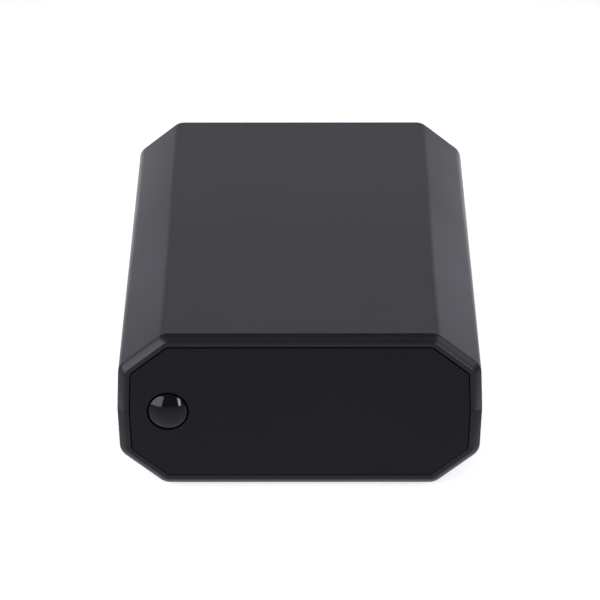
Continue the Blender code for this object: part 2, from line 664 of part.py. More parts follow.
def build():
    clear_scene()
    case_plastic = material("case_plastic", (0.032, 0.032, 0.035), 0.55)
    panel_plastic = material("panel_plastic", (0.012, 0.012, 0.013), 0.5)
    glossy_plastic = material("button_plastic", (0.008, 0.008, 0.010), 0.12)
    rubber = material("foot_rubber", (0.02, 0.02, 0.02), 0.9)
    steel = material("screw_steel", (0.45, 0.45, 0.47), 0.35, 1.0)
    spring_steel = material("spring_steel", (0.60, 0.60, 0.58), 0.25, 1.0)
    plated = material("plated_steel", (0.65, 0.65, 0.66), 0.28, 1.0)
    board_green = material("circuit_board", (0.010, 0.09, 0.035), 0.45)
    chip_black = material("chip_plastic", (0.02, 0.02, 0.022), 0.5)
    can_metal = material("can_aluminium", (0.75, 0.75, 0.76), 0.3, 1.0)
    ferrite = material("inductor_ferrite", (0.08, 0.08, 0.085), 0.7)
    white_plastic = material("white_plastic", (0.70, 0.70, 0.68), 0.45)
    header_plastic = material("header_plastic", (0.018, 0.018, 0.018), 0.5)

    top_shell(case_plastic)
    bottom_shell(case_plastic)
    front_panel(panel_plastic)
    rear_panel(panel_plastic)
    feet(rubber)
    case_screws(steel)
    board_screws(steel)
    circuit_board(board_green)
    board_parts(chip_black, can_metal, ferrite)
    start_button(glossy_plastic, white_plastic, chip_black, spring_steel)
    usb_socket(plated, white_plastic)
    for letter, x in zip("ab", HEADER_X):
        probe_header(f"probe_header_{letter}", x, header_plastic)


build()
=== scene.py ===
"""Looks of the bench-top logic analyzer: fine surfaces, materials, light and camera.

The CAD frame gives every place. The case, panels, button, connectors, screws, feet and the parts
on the circuit board are replaced by finer meshes of the same size. The board itself and the
switch behind the button keep their CAD shape and get new materials.
"""

import json
import math

import bmesh
import bpy
from mathutils import Matrix, Vector


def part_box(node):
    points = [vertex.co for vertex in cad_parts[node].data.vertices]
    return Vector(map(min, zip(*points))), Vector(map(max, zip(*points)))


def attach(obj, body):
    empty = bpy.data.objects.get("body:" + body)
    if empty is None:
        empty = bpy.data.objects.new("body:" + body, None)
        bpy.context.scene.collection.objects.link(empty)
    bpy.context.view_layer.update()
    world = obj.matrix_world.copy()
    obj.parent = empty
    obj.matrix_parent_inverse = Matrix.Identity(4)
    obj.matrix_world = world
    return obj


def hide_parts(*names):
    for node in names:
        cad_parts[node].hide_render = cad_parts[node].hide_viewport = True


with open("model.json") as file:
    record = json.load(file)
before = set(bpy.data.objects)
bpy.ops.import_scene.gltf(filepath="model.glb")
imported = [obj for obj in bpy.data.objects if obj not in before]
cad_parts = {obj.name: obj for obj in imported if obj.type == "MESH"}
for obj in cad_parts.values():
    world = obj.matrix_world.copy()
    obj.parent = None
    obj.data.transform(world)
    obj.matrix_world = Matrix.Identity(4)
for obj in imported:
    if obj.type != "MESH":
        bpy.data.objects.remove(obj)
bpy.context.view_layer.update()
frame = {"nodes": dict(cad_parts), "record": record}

MM = 0.001
CASE, BUTTON = "case", "start_button"

# Case, as the CAD has it: the box gives the size, and these give the section's shape
TOP_LOW, TOP_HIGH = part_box("top_shell")
BOTTOM_LOW, BOTTOM_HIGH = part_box("bottom_shell")
LIP_Y = TOP_HIGH.y
SEAM_Z = (TOP_HIGH.z + BOTTOM_LOW.z) / 2
HALF_HEIGHT = TOP_HIGH.z - SEAM_Z
SIDE_DRAFT = 0.0386
HALF_WIDTH = TOP_HIGH.x + SIDE_DRAFT * (TOP_LOW.z - SEAM_Z)
SIDE_HALF_HEIGHT = 13.2 * MM
CHAMFER_WIDTH = 12.2 * MM
WALL = 2.4 * MM
EDGE_RADIUS = 4.5 * MM
INNER_RADIUS = 0.25 * MM
ARC_STEPS = 8
SEAM_GAP = 0.10 * MM
SEAM_ROUND = 0.12 * MM

# Rim at each end: distances back from the lip's plane, and insets from the section
BEVEL_DEPTH = 1.85 * MM
BEVEL_INSET = 2.0 * MM
BEVEL_BULGE = 0.13 * MM
BEVEL_STEPS = 6
CREASE_WIDTH = 0.28 * MM
CREASE_DEPTH = 0.34 * MM
LIP_INSET = 3.2 * MM
LIP_ROUND = 0.07 * MM
GROOVE_START = 1.7 * MM
GROOVE_END = 4.0 * MM
GROOVE_INSET = 1.7 * MM
RIB_END = 5.4 * MM
RIB_INSET = 4.6 * MM

# Panels: the face lies behind the lip, and its edge hangs a little low in the groove
PANEL_RECESS = 0.2 * MM
PANEL_INSET = 3.48 * MM
PANEL_DROP = 0.22 * MM
PANEL_ROUND = 0.06 * MM
PANEL_CORNER = 0.4 * MM

# Fits inside the case
CLEARANCE = 0.3 * MM
BOSS_RADIUS = 3.6 * MM
BOSS_HOLE_RADIUS = 1.6 * MM
PILLAR_RADIUS = 3.0 * MM
PILLAR_HOLE_RADIUS = 1.4 * MM
HEAD_HOLE_RADIUS = 2.8 * MM
HEAD_HOLE_DEPTH = 3.4 * MM
SEAM_LIP_LENGTH = 136.0 * MM
SCREW_SIDES = 16

# Heights over the circuit board
BOARD_LOW, BOARD_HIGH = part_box("main_circuit_board")
BOARD_TOP = BOARD_HIGH.z
LEAD_FOOT = BOARD_TOP + 0.04 * MM
BODY_FOOT = BOARD_TOP + 0.05 * MM


# ------------------------ mesh helpers

def mesh_object(name, bm):
    """A mesh object in the scene, with its faces pointing out."""
    bmesh.ops.recalc_face_normals(bm, faces=bm.faces)
    mesh = bpy.data.meshes.new(name)
    bm.to_mesh(mesh)
    bm.free()
    obj = bpy.data.objects.new(name, mesh)
    bpy.context.scene.collection.objects.link(obj)
    return obj


def new_piece(name, bm, finish, body=CASE, smooth_angle=35.0):
    """A piece with its material, smooth between its sharp edges, that rides on a body."""
    obj = mesh_object(name, bm)
    obj.data.materials.append(finish)
    obj.data.shade_smooth()
    obj.data.set_sharp_from_angle(angle=math.radians(smooth_angle))
    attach(obj, body)
    return obj


def cut(obj, bm, operation="DIFFERENCE"):
    """Cuts or joins with a Boolean, and applies it."""
    other = mesh_object(obj.name + "_cutter", bm)
    modifier = obj.modifiers.new("Boolean", "BOOLEAN")
    modifier.operation = operation
    modifier.object = other
    apply_modifiers(obj)
    bpy.data.objects.remove(other)


def apply_modifiers(obj):
    graph = bpy.context.evaluated_depsgraph_get()
    mesh = bpy.data.meshes.new_from_object(obj.evaluated_get(graph))
    obj.modifiers.clear()
    obj.data = mesh


def round_edges(obj, width, segments=2, angle=30.0):
    modifier = obj.modifiers.new("Bevel", "BEVEL")
    modifier.width = width
    modifier.segments = segments
    modifier.limit_method = "ANGLE"
    modifier.angle_limit = math.radians(angle)
    modifier.harden_normals = True
    apply_modifiers(obj)


def add_box(bm, low, high):
    size = Vector(high) - Vector(low)
    middle = (Vector(high) + Vector(low)) / 2
    place = Matrix.Translation(middle) @ Matrix.Diagonal((*size, 1.0))
    bmesh.ops.create_cube(bm, size=1.0, matrix=place)


def add_prism(bm, outline, start, end):
    """A solid between two planes across Y, from (x, z) corners."""
    low, high = ([bm.verts.new((x, y, z)) for x, z in outline] for y in (start, end))
    bm.faces.new(low)
    bm.faces.new(reversed(high))
    for i in range(len(outline)):
        j = (i + 1) % len(outline)
        bm.faces.new((low[i], high[i], high[j], low[j]))


def join_rings(bm, rings):
    """Faces between rings that have the same number of corners."""
    for first, second in zip(rings, rings[1:]):
        for i in range(len(first)):
            j = (i + 1) % len(first)
            bm.faces.new((first[i], second[i], second[j], first[j]))


def add_loft(bm, rings):
    """A solid through rings of corners, closed at both ends."""
    made = [[bm.verts.new(corner) for corner in ring] for ring in rings]
    bm.faces.new(made[0])
    bm.faces.new(reversed(made[-1]))
    join_rings(bm, made)


def add_turned(bm, profile, centre, along="Z", sides=48):
    """A turned solid about Y or Z, from (height, radius) points that start and end on the axis."""
    rings = []
    for height, radius in profile:
        count = sides if radius else 1
        ring = []
        for i in range(count):
            turn = 2 * math.pi * i / count
            u, v = radius * math.cos(turn), radius * math.sin(turn)
            local = (u, v, height) if along == "Z" else (u, height, v)
            ring.append(bm.verts.new(Vector(local) + Vector(centre)))
        rings.append(ring)
    for low, high in zip(rings, rings[1:]):
        for i in range(sides):
            j = (i + 1) % sides
            corners = [low[i % len(low)], low[j % len(low)]]
            corners += [high[j % len(high)], high[i % len(high)]]
            bm.faces.new(list(dict.fromkeys(corners)))


def arc(centre, radius, start, end, steps):
    """Points of an arc, with its angles in degrees."""
    angles = (math.radians(start + (end - start) * i / steps) for i in range(steps + 1))
    return [(centre[0] + radius * math.cos(a), centre[1] + radius * math.sin(a)) for a in angles]


# ------------------------ materials

def node(tree, kind, links=(), **settings):
    """A shader node, with its inputs set by name or linked from other sockets."""
    made = tree.nodes.new(kind)
    for name, value in settings.items():
        setattr(made, name, value)
    for name, source in links:
        if isinstance(source, bpy.types.NodeSocket):
            tree.links.new(source, made.inputs[name])
        else:
            made.inputs[name].default_value = source
    return made


def noise(tree, scale, detail=2.0, roughness=0.5):
    place = node(tree, "ShaderNodeTexCoord").outputs["Object"]
    links = (("Vector", place), ("Scale", scale), ("Detail", detail), ("Roughness", roughness))
    return node(tree, "ShaderNodeTexNoise", links).outputs["Fac"]


def ramp(tree, source, low, high, start=0.35, end=0.65):
    """Maps a value between start and end to one between low and high."""
    links = [("Value", source), ("From Min", start), ("From Max", end)]
    links += [("To Min", low), ("To Max", high)]
    return node(tree, "ShaderNodeMapRange", links).outputs["Result"]


def blend_colors(tree, factor, first, second):
    """A mix of two colours, each an (r, g, b) value or a socket."""
    made = node(tree, "ShaderNodeMix", data_type="RGBA")
    tree.links.new(factor, made.inputs["Factor"])
    for socket, source in ((made.inputs[6], first), (made.inputs[7], second)):
        if isinstance(source, bpy.types.NodeSocket):
            tree.links.new(source, socket)
        else:
            socket.default_value = (*source, 1.0)
    return made.outputs[2]


def math_node(tree, operation, first, second):
    made = node(tree, "ShaderNodeMath", operation=operation)
    for i, source in enumerate((first, second)):
        if isinstance(source, bpy.types.NodeSocket):
            tree.links.new(source, made.inputs[i])
        else:
            made.inputs[i].default_value = source
    return made.outputs[0]


def surface(name, color, worn_and_highlight_color, roughness, grain, depth, specular=0.5, metallic=0.0, edge=0.2):
    """A moulded, painted or plated surface.

    Fine grain in the bump, uneven gloss and colour, and edges that are softened in the shading
    and lighter in patches: partly rubbed wear, partly a painted edge highlight. The grain's depth
    and the softened edges' radius are in millimetres.
    """
    made = bpy.data.materials.new(name)
    made.use_nodes = True
    tree = made.node_tree
    shader = tree.nodes["Principled BSDF"]
    broad = noise(tree, 45.0, 3.0, 0.55)
    fine = noise(tree, grain, 3.0, 0.65)
    rounded = node(tree, "ShaderNodeBevel", (("Radius", edge * MM),), samples=4).outputs["Normal"]
    flat = node(tree, "ShaderNodeNewGeometry").outputs["Normal"]
    turned = node(tree, "ShaderNodeVectorMath", operation="DOT_PRODUCT")
    tree.links.new(rounded, turned.inputs[0])
    tree.links.new(flat, turned.inputs[1])
    # Painted highlight: the edge mask, broken into patches, mixes in the lighter colour, partly as
    # rubbed wear and partly as a painted edge highlight.
    on_edges = ramp(tree, turned.outputs["Value"], 1.0, 0.0, 0.80, 0.98)
    in_places = ramp(tree, noise(tree, 260.0, 4.0, 0.7), 0.0, 1.0, 0.48, 0.72)
    rubbed_and_highlit = math_node(tree, "MULTIPLY", on_edges, in_places)
    darker, lighter = ([c * share for c in color] for share in (0.93, 1.07))
    uneven = blend_colors(tree, ramp(tree, broad, 0.0, 1.0), darker, lighter)
    tree.links.new(blend_colors(tree, rubbed_and_highlit, uneven, worn_and_highlight_color), shader.inputs["Base Color"])
    gloss = math_node(tree, "ADD", ramp(tree, broad, *roughness), ramp(tree, fine, -0.02, 0.02))
    tree.links.new(gloss, shader.inputs["Roughness"])
    links = (("Height", fine), ("Distance", depth * MM), ("Strength", 1.0), ("Normal", rounded))
    tree.links.new(node(tree, "ShaderNodeBump", links).outputs["Normal"], shader.inputs["Normal"])
    shader.inputs["Specular IOR Level"].default_value = specular
    shader.inputs["Metallic"].default_value = metallic
    return made


# Name, colour, lighter edge colour (rubbed wear and painted edge highlight), lowest and highest
# roughness, and the grain's scale and depth
MATERIALS = {
    "case": surface(
        "case_plastic", (0.0040, 0.0040, 0.0050), (0.018, 0.018, 0.021), (0.30, 0.33),
        4200.0, 0.010, specular=0.20, edge=0.1),
    "panel": surface(
        "panel_plastic", (0.0035, 0.0035, 0.0044), (0.015, 0.015, 0.017), (0.42, 0.45),
        5200.0, 0.004, specular=0.10, edge=0.05),
    "button": surface(
        "button_plastic", (0.001, 0.001, 0.0014), (0.01, 0.01, 0.01), (0.08, 0.11),
        900.0, 0.0006, specular=0.20, edge=0.1),
    "rubber": surface(
        "foot_rubber", (0.012, 0.012, 0.012), (0.03, 0.03, 0.03), (0.75, 0.85),
        2600.0, 0.03, specular=0.3),
    "steel": surface(
        "screw_steel", (0.42, 0.42, 0.43), (0.62, 0.62, 0.62), (0.28, 0.36),
        1500.0, 0.006, metallic=1.0, edge=0.1),
    "plated": surface(
        "plated_steel", (0.62, 0.61, 0.59), (0.75, 0.74, 0.72), (0.20, 0.28),
        900.0, 0.004, metallic=1.0, edge=0.1),
    "tin": surface(
        "tinned_lead", (0.66, 0.66, 0.66), (0.75, 0.75, 0.75), (0.30, 0.38),
        2200.0, 0.003, metallic=1.0, edge=0.05),
    "coating": surface(
        "dipped_coating", (0.020, 0.011, 0.008), (0.05, 0.03, 0.02), (0.30, 0.38),
        1600.0, 0.008),
    "gold": surface(
        "gold_plate", (0.80, 0.56, 0.22), (0.85, 0.70, 0.45), (0.22, 0.30),
        1800.0, 0.003, metallic=1.0, edge=0.05),
    "white": surface(
        "white_plastic", (0.62, 0.61, 0.57), (0.72, 0.71, 0.68), (0.38, 0.46),
        3000.0, 0.008),
    "header": surface(
        "header_plastic", (0.010, 0.010, 0.010), (0.03, 0.03, 0.03), (0.40, 0.48),
        3200.0, 0.010, specular=0.4),
    "chip": surface(
        "chip_plastic", (0.012, 0.012, 0.013), (0.04, 0.04, 0.04), (0.48, 0.56),
        3500.0, 0.010, specular=0.4),
    "can": surface(
        "can_aluminium", (0.72, 0.72, 0.73), (0.8, 0.8, 0.8), (0.24, 0.32),
        900.0, 0.006, metallic=1.0),
    "ferrite": surface(
        "inductor_ferrite", (0.05, 0.05, 0.054), (0.12, 0.12, 0.12), (0.6, 0.7),
        2400.0, 0.03, specular=0.4),
    "trace": surface(
        "masked_copper", (0.030, 0.200, 0.070), (0.06, 0.24, 0.10), (0.28, 0.36),
        1200.0, 0.004),
    "board": surface(
        "circuit_board", (0.008, 0.075, 0.028), (0.02, 0.12, 0.05), (0.28, 0.36),
        1200.0, 0.01),
}


# ------------------------ case shells

def section_corners():
    """The section's six upper corners, from the right end of the seam, above the seam's level."""
    side_x = HALF_WIDTH - SIDE_DRAFT * SIDE_HALF_HEIGHT
    quarter = [(HALF_WIDTH, 0.0), (side_x, SIDE_HALF_HEIGHT)]
    quarter += [(side_x - CHAMFER_WIDTH, HALF_HEIGHT)]
    return [Vector(p) for p in quarter + [(-x, z) for x, z in reversed(quarter)]]


def upper_section(inset, radius, steps=ARC_STEPS, start=0.0):
    """Points of the upper half of the section, inset and with rounded corners.

    They run from right to left, and start and end at a height above the seam.
    """
    corners = section_corners()
    normals = []
    for first, second in zip(corners, corners[1:]):
        along = (second - first).normalized()
        normals.append(Vector((-along.y, along.x)))

    def at_height(corner, normal):
        point = corner + inset * normal
        along = Vector((normal.y, -normal.x))
        return point + along * (start - point.y) / along.y

    points = [at_height(corners[0], normals[0])]
    for i in range(1, 5):
        before, after = normals[i - 1], normals[i]
        centre = corners[i] + (inset + radius) * (before + after) / (1 + before.dot(after))
        for step in range(steps + 1):
            mixed = before.slerp(after, step / steps)
            points.append(centre - radius * mixed)
    points.append(at_height(corners[5], normals[4]))
    return points


def rim_profile():
    """(y, inset) points of one end rim, from the outside of the case to the inside of its wall."""
    crease_end = BEVEL_DEPTH - CREASE_WIDTH / 2
    points = [
        (BEVEL_DEPTH + CREASE_WIDTH, 0.0),
        (BEVEL_DEPTH + CREASE_WIDTH * 0.62, 0.03 * MM),
        (BEVEL_DEPTH + CREASE_WIDTH / 2, 0.10 * MM),
        (BEVEL_DEPTH + CREASE_WIDTH * 0.3, CREASE_DEPTH),
        (BEVEL_DEPTH - CREASE_WIDTH * 0.3, CREASE_DEPTH),
    ]
    start, end = Vector((crease_end, 0.16 * MM)), Vector((0.0, BEVEL_INSET))
    side = Vector((start.y - end.y, end.x - start.x)).normalized()
    for step in range(BEVEL_STEPS + 1):
        share = step / BEVEL_STEPS
        points.append(tuple(start.lerp(end, share) + side * BEVEL_BULGE * 4 * share * (1 - share)))
    points += [
        (0.0, BEVEL_INSET + 0.05 * MM),
        (0.0, LIP_INSET - LIP_ROUND),
        (LIP_ROUND * 0.3, LIP_INSET - LIP_ROUND * 0.3),
        (LIP_ROUND, LIP_INSET),
        (GROOVE_START, LIP_INSET),
        (GROOVE_START, GROOVE_INSET),
        (GROOVE_END, GROOVE_INSET),
        (GROOVE_END, RIB_INSET),
        (RIB_END, RIB_INSET),
        (RIB_END, WALL),
    ]
    return [(back - LIP_Y, inset) for back, inset in points]


def shell(name, cad_node, upper):
    """One half of the case, swept along half of the section, with its seam edges rounded."""
    front = rim_profile()
    profile = front + [(-y, inset) for y, inset in reversed(front)]
    rows = []
    for y, inset in profile:
        outside = inset == 0 or inset < LIP_INSET and abs(y) > LIP_Y - GROOVE_START
        radius = max(EDGE_RADIUS - inset, INNER_RADIUS)
        body = upper_section(inset, radius)
        ends = []
        for share in (0.0, 0.3, 1.0):
            drawn_in = SEAM_ROUND * (1 - share) ** 2 if outside else 0.0
            level = SEAM_GAP / 2 + SEAM_ROUND * share
            edge = upper_section(inset + drawn_in, radius, start=level)
            ends.append((edge[0], edge[-1]))
        row = [first for first, _ in ends] + body[1:-1] + [last for _, last in reversed(ends)]
        rows.append([(p.x, y, SEAM_Z + (p.y if upper else -p.y)) for p in row])
    bm = bmesh.new()
    grid = [[bm.verts.new(point) for point in row] for row in rows]
    for i in range(len(grid)):
        row, following = grid[i], grid[(i + 1) % len(grid)]
        for j in range(len(row) - 1):
            bm.faces.new((row[j], row[j + 1], following[j + 1], following[j]))
    bm.faces.new([row[0] for row in grid])
    bm.faces.new([row[-1] for row in grid])
    obj = new_piece(name, bm, MATERIALS["case"], smooth_angle=28.0)
    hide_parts(cad_node)
    return obj


def middle_of(name):
    """The (x, y) middle of a CAD node."""
    low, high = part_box(name)
    return (low.x + high.x) / 2, (low.y + high.y) / 2


def corner_names(kind):
    """The names of the four nodes of a kind that sit at the corners."""
    return [f"{kind}_{end}_{side}" for end in ("front", "rear") for side in ("left", "right")]


def rod(bm, x, y, low, high, radius):
    add_turned(bm, [(low, 0.0), (low, radius), (high, radius), (high, 0.0)], (x, y, 0.0))


def upper_shell():
    """The upper half, with the bosses that the case screws bite into."""
    obj = shell("case_upper_half", "top_shell", True)
    bosses, holes = bmesh.new(), bmesh.new()
    for name in corner_names("case_screw"):
        x, y = middle_of(name)
        hole_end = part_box(name)[1].z + 1.6 * MM
        rod(bosses, x, y, SEAM_Z + CLEARANCE, TOP_HIGH.z - WALL / 2, BOSS_RADIUS)
        rod(holes, x, y, SEAM_Z - WALL, hole_end, BOSS_HOLE_RADIUS)
    cut(obj, bosses, "UNION")
    cut(obj, holes)


def lower_shell():
    """The lower half: bosses, board pillars and seam lip, screw holes and foot seats."""
    obj = shell("case_lower_half", "bottom_shell", False)
    bottom = BOTTOM_LOW.z
    posts, holes = bmesh.new(), bmesh.new()
    seat, edge = bottom + HEAD_HOLE_DEPTH, 0.35 * MM
    head, shank = HEAD_HOLE_RADIUS, BOSS_HOLE_RADIUS
    for name in corner_names("case_screw"):
        x, y = middle_of(name)
        rod(posts, x, y, bottom + WALL / 2, SEAM_Z - CLEARANCE, BOSS_RADIUS)
        profile = [(bottom - WALL, 0.0), (bottom - WALL, head + edge), (bottom, head + edge)]
        profile += [(bottom + edge, head), (seat, head), (seat, shank)]
        profile += [(SEAM_Z + WALL, shank), (SEAM_Z + WALL, 0.0)]
        add_turned(holes, profile, (x, y, 0.0))
    pillar_top = BOARD_LOW.z - CLEARANCE
    for name in corner_names("board_screw"):
        x, y = middle_of(name)
        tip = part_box(name)[0].z
        rod(posts, x, y, bottom + WALL / 2, pillar_top, PILLAR_RADIUS)
        rod(holes, x, y, tip - CLEARANCE, pillar_top + WALL, PILLAR_HOLE_RADIUS)
    for name in corner_names("foot"):
        x, y = middle_of(name)
        low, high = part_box(name)
        rod(holes, x, y, bottom - WALL, high.z + CLEARANCE, (high.x - low.x) / 2 + 0.15 * MM)
    inner, outer = HALF_WIDTH - 3.8 * MM, HALF_WIDTH - 2.1 * MM
    clear = HALF_WIDTH - WALL - CLEARANCE
    step, low, top = SEAM_Z - CLEARANCE, SEAM_Z - 3.2 * MM, BOTTOM_HIGH.z
    lip = [(inner, low), (outer, low), (outer, step), (clear, step), (clear, top), (inner, top)]
    for side in (-1, 1):
        outline = [(side * x, z) for x, z in lip]
        add_prism(posts, outline, -SEAM_LIP_LENGTH / 2, SEAM_LIP_LENGTH / 2)
    cut(obj, posts, "UNION")
    cut(obj, holes)


# ------------------------ panels

def full_section(inset):
    """(x, z) points all round the section, with the small corners of a panel."""
    upper = upper_section(inset, PANEL_CORNER, steps=3)
    points = [(p.x, SEAM_Z + p.y) for p in upper]
    return points + [(x, 2 * SEAM_Z - z) for x, z in reversed(points[1:-1])]


def panel(name, cad_node, end, cutter):
    """A plate with a flange in the groove, at the front (-1) or the rear (1), and its openings."""
    face = end * (LIP_Y - PANEL_RECESS)
    step = end * (LIP_Y - GROOVE_START - CLEARANCE)
    back = end * (LIP_Y - GROOVE_END + CLEARANCE)
    bm = bmesh.new()
    layers = [
        (face, PANEL_INSET + PANEL_ROUND),
        (face + (step - face) * 0.03, PANEL_INSET + PANEL_ROUND * 0.3),
        (face + (step - face) * 0.09, PANEL_INSET),
        (step, PANEL_INSET),
        (step, GROOVE_INSET + CLEARANCE),
        (back, GROOVE_INSET + CLEARANCE),
    ]
    rings = []
    for y, inset in layers:
        drop = PANEL_DROP if inset >= PANEL_INSET else 0.0
        rings.append([bm.verts.new((x, y, z - drop)) for x, z in full_section(inset)])
    join_rings(bm, rings)
    bm.faces.new(rings[0])
    bm.faces.new(rings[-1])
    obj = new_piece(name, bm, MATERIALS["panel"])
    cut(obj, cutter)
    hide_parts(cad_node)


def button_centre():
    low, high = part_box("start_button_cap")
    return Vector(((low.x + high.x) / 2, 0.0, (low.z + high.z) / 2))


def front_panel():
    """The front plate, with the button's hole softened at its mouth."""
    centre = button_centre()
    radius, soft = 5.75 * MM, 0.12 * MM
    face, back, before = -LIP_Y + PANEL_RECESS, -LIP_Y + 2 * GROOVE_END, -LIP_Y - WALL
    quarter = arc((0.0, 0.0), soft, 90.0, 0.0, 4)
    profile = [(before, 0.0), (before, radius + soft)]
    profile += [(face + soft - y, radius + soft - r) for r, y in quarter]
    profile += [(back, radius), (back, 0.0)]
    hole = bmesh.new()
    add_turned(hole, profile, centre, "Y", 96)
    panel("front_plate", "front_panel", -1, hole)


def rear_panel():
    """The rear plate, with an opening round each connector."""
    slots = bmesh.new()
    margin = Vector((CLEARANCE, 0.0, CLEARANCE))
    for name in ("probe_header_a", "probe_header_b", "usb_socket_shell"):
        low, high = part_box(name)
        start, end = low - margin, high + margin
        start.y, end.y = LIP_Y - 3 * WALL, LIP_Y + WALL
        add_box(slots, start, end)
    panel("rear_plate", "rear_panel", 1, slots)


# ------------------------ button

def start_button():
    """The polished cap: a dome, a small round at its rim, and a skirt through the panel."""
    low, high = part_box("start_button_cap")
    centre = button_centre()
    radius, height, soft = 5.25 * MM, 1.7 * MM, 0.16 * MM
    flange_radius, stem, bore = 6.8 * MM, 3.0 * MM, 1.9 * MM
    rim_y = low.y + height
    sphere = (radius**2 + height**2) / (2 * height)
    steps = 22
    widest = math.asin((radius - soft * 0.3) / sphere)
    profile = []
    for step in range(steps + 1):
        turn = widest * step / steps
        profile.append((low.y + sphere * (1 - math.cos(turn)), sphere * math.sin(turn)))
    profile += [(rim_y - soft * 0.05, radius - soft * 0.12), (rim_y + soft * 0.3, radius)]
    flange = -LIP_Y + GROOVE_END
    flange_back, bore_end = flange + 1.2 * MM, flange + 1.5 * MM
    profile += [(flange, radius), (flange, flange_radius), (flange_back, flange_radius)]
    profile += [(flange_back, stem), (high.y, stem)]
    profile += [(high.y, bore), (bore_end, bore), (bore_end, 0.0)]
    bm = bmesh.new()
    add_turned(bm, profile, centre, "Y", 96)
    obj = new_piece("start_button_dome", bm, MATERIALS["button"], BUTTON)
    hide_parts("start_button_cap")


# ------------------------ feet and screws

def feet():
    """Moulded rubber feet: a rounded tread with a shallow dish in it."""
    soft, dish = 0.45 * MM, 0.25 * MM
    for name in corner_names("foot"):
        low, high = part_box(name)
        radius = (high.x - low.x) / 2
        profile = [(dish, 0.0), (dish, radius * 0.55), (0.0, radius * 0.68)]
        profile += [(soft - s, radius - soft + c) for c, s in arc((0.0, 0.0), soft, 90.0, 0.0, 5)]
        profile += [(high.z, radius), (high.z, 0.0)]
        bm = bmesh.new()
        add_turned(bm, profile, (*middle_of(name), 0.0), sides=64)
        obj = new_piece(name.replace("foot", "rubber_foot"), bm, MATERIALS["rubber"])
        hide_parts(name)


def threaded_shank(bm, length, radius):
    """A screw's shank down from z = 0: a helical thread that runs out into a blunt point."""
    pitch, depth, rings_per_turn = 1.1 * MM, 0.32 * MM, 6
    rings = []
    count = int(length / pitch * rings_per_turn)
    for level in range(count + 1):
        z = -length * level / count
        taper = min(1.0, (z + length) / (2 * radius) + 0.35)
        ring = []
        for i in range(SCREW_SIDES):
            phase = (z / pitch + i / SCREW_SIDES) % 1.0
            crest = max(0.0, 1 - abs(phase - 0.5) * 3.2) if -z > pitch else 0.0
            reach = (radius - depth + depth * crest) * taper
            turn = 2 * math.pi * i / SCREW_SIDES
            ring.append(bm.verts.new((reach * math.cos(turn), reach * math.sin(turn), z)))
        rings.append(ring)
    join_rings(bm, rings)
    bm.faces.new(rings[-1])
    return rings[0]


def recess_arm(turn):
    """One arm of the cross recess: a slot that narrows from the crown down to its floor."""
    bm = bmesh.new()
    bmesh.ops.create_cube(bm, size=1.0)
    for vert in bm.verts:
        deep = vert.co.z < 0
        length, width = (1.2 * MM, 0.5 * MM) if deep else (2.9 * MM, 0.75 * MM)
        vert.co = (vert.co.x * length, vert.co.y * width, 0.6 * MM if deep else 2.2 * MM)
    bmesh.ops.rotate(bm, verts=bm.verts, matrix=Matrix.Rotation(math.radians(turn), 3, "Z"))
    return bm


def screws():
    """Pan-head screws with a rounded crown, a tapered cross recess and a cut thread."""
    circle = [2 * math.pi * i / SCREW_SIDES for i in range(SCREW_SIDES)]
    head_radius, head_height, soft, crown = 2.4 * MM, 1.7 * MM, 0.15 * MM, 1.15 * MM
    head = [(0.0, head_radius - soft), (soft, head_radius)]
    for reach, rise in arc((head_radius - crown, head_height - crown), crown, 0.0, 90.0, 7):
        head.append((rise, reach))
    for kind, thread, length in (("case", 1.3 * MM, 26.0 * MM), ("board", 1.1 * MM, 8.0 * MM)):
        for name in corner_names(f"{kind}_screw"):
            low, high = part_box(name)
            bm = bmesh.new()
            rings = [threaded_shank(bm, length, thread)]
            for height, radius in head:
                around = [(radius * math.cos(a), radius * math.sin(a), height) for a in circle]
                rings.append([bm.verts.new(point) for point in around])
            join_rings(bm, rings)
            bm.faces.new(rings[-1])
            piece_name = name.replace("_screw", "_pan_screw")
            obj = new_piece(piece_name, bm, MATERIALS["steel"], smooth_angle=30.0)
            for turn in (0.0, 90.0):
                cut(obj, recess_arm(turn))
            if kind == "case":
                place = Matrix.Translation((*middle_of(name), low.z + head_height))
                place = place @ Matrix.Rotation(math.pi, 4, "X")
            else:
                place = Matrix.Translation((*middle_of(name), high.z - head_height))
            obj.data.transform(place)
            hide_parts(name)


# ------------------------ connectors

def usb_socket():
    """The plated socket with a rolled mouth, its tongue, and four gold contacts on the tongue."""
    low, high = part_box("usb_socket_shell")
    bm = bmesh.new()
    add_box(bm, low, high)
    obj = new_piece("usb_plated_shell", bm, MATERIALS["plated"])
    round_edges(obj, 0.7 * MM, 4)
    middle = (low + high) / 2
    half_x, half_z, corner, depth = 4.225 * MM, 3.89 * MM, 1.9 * MM, 12.0 * MM
    outline = [(-half_x, -half_z), (half_x, -half_z), (half_x, half_z - corner)]
    outline += [(half_x - corner, half_z), (corner - half_x, half_z), (-half_x, half_z - corner)]
    outline = [(middle.x + x, middle.z + z) for x, z in outline]
    opening = bmesh.new()
    add_prism(opening, outline, high.y - depth, high.y + WALL)
    cut(obj, opening)
    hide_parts("usb_socket_shell")

    low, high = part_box("usb_socket_tongue")
    bm = bmesh.new()
    add_box(bm, low, high)
    tongue = new_piece("usb_tongue", bm, MATERIALS["white"])
    round_edges(tongue, 0.3 * MM, 3)
    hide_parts("usb_socket_tongue")
    contacts = bmesh.new()
    middle = (low + high) / 2
    half = Vector((0.5 * MM, 3.6 * MM, 0.08 * MM))
    for level in (low.z, high.z):
        for x in (-1.25 * MM, 1.25 * MM):
            centre = Vector((middle.x + x, middle.y - 0.2 * MM, level))
            add_box(contacts, centre - half, centre + half)
    strips = new_piece("usb_contacts", contacts, MATERIALS["gold"])
    round_edges(strips, 0.05 * MM, 2)


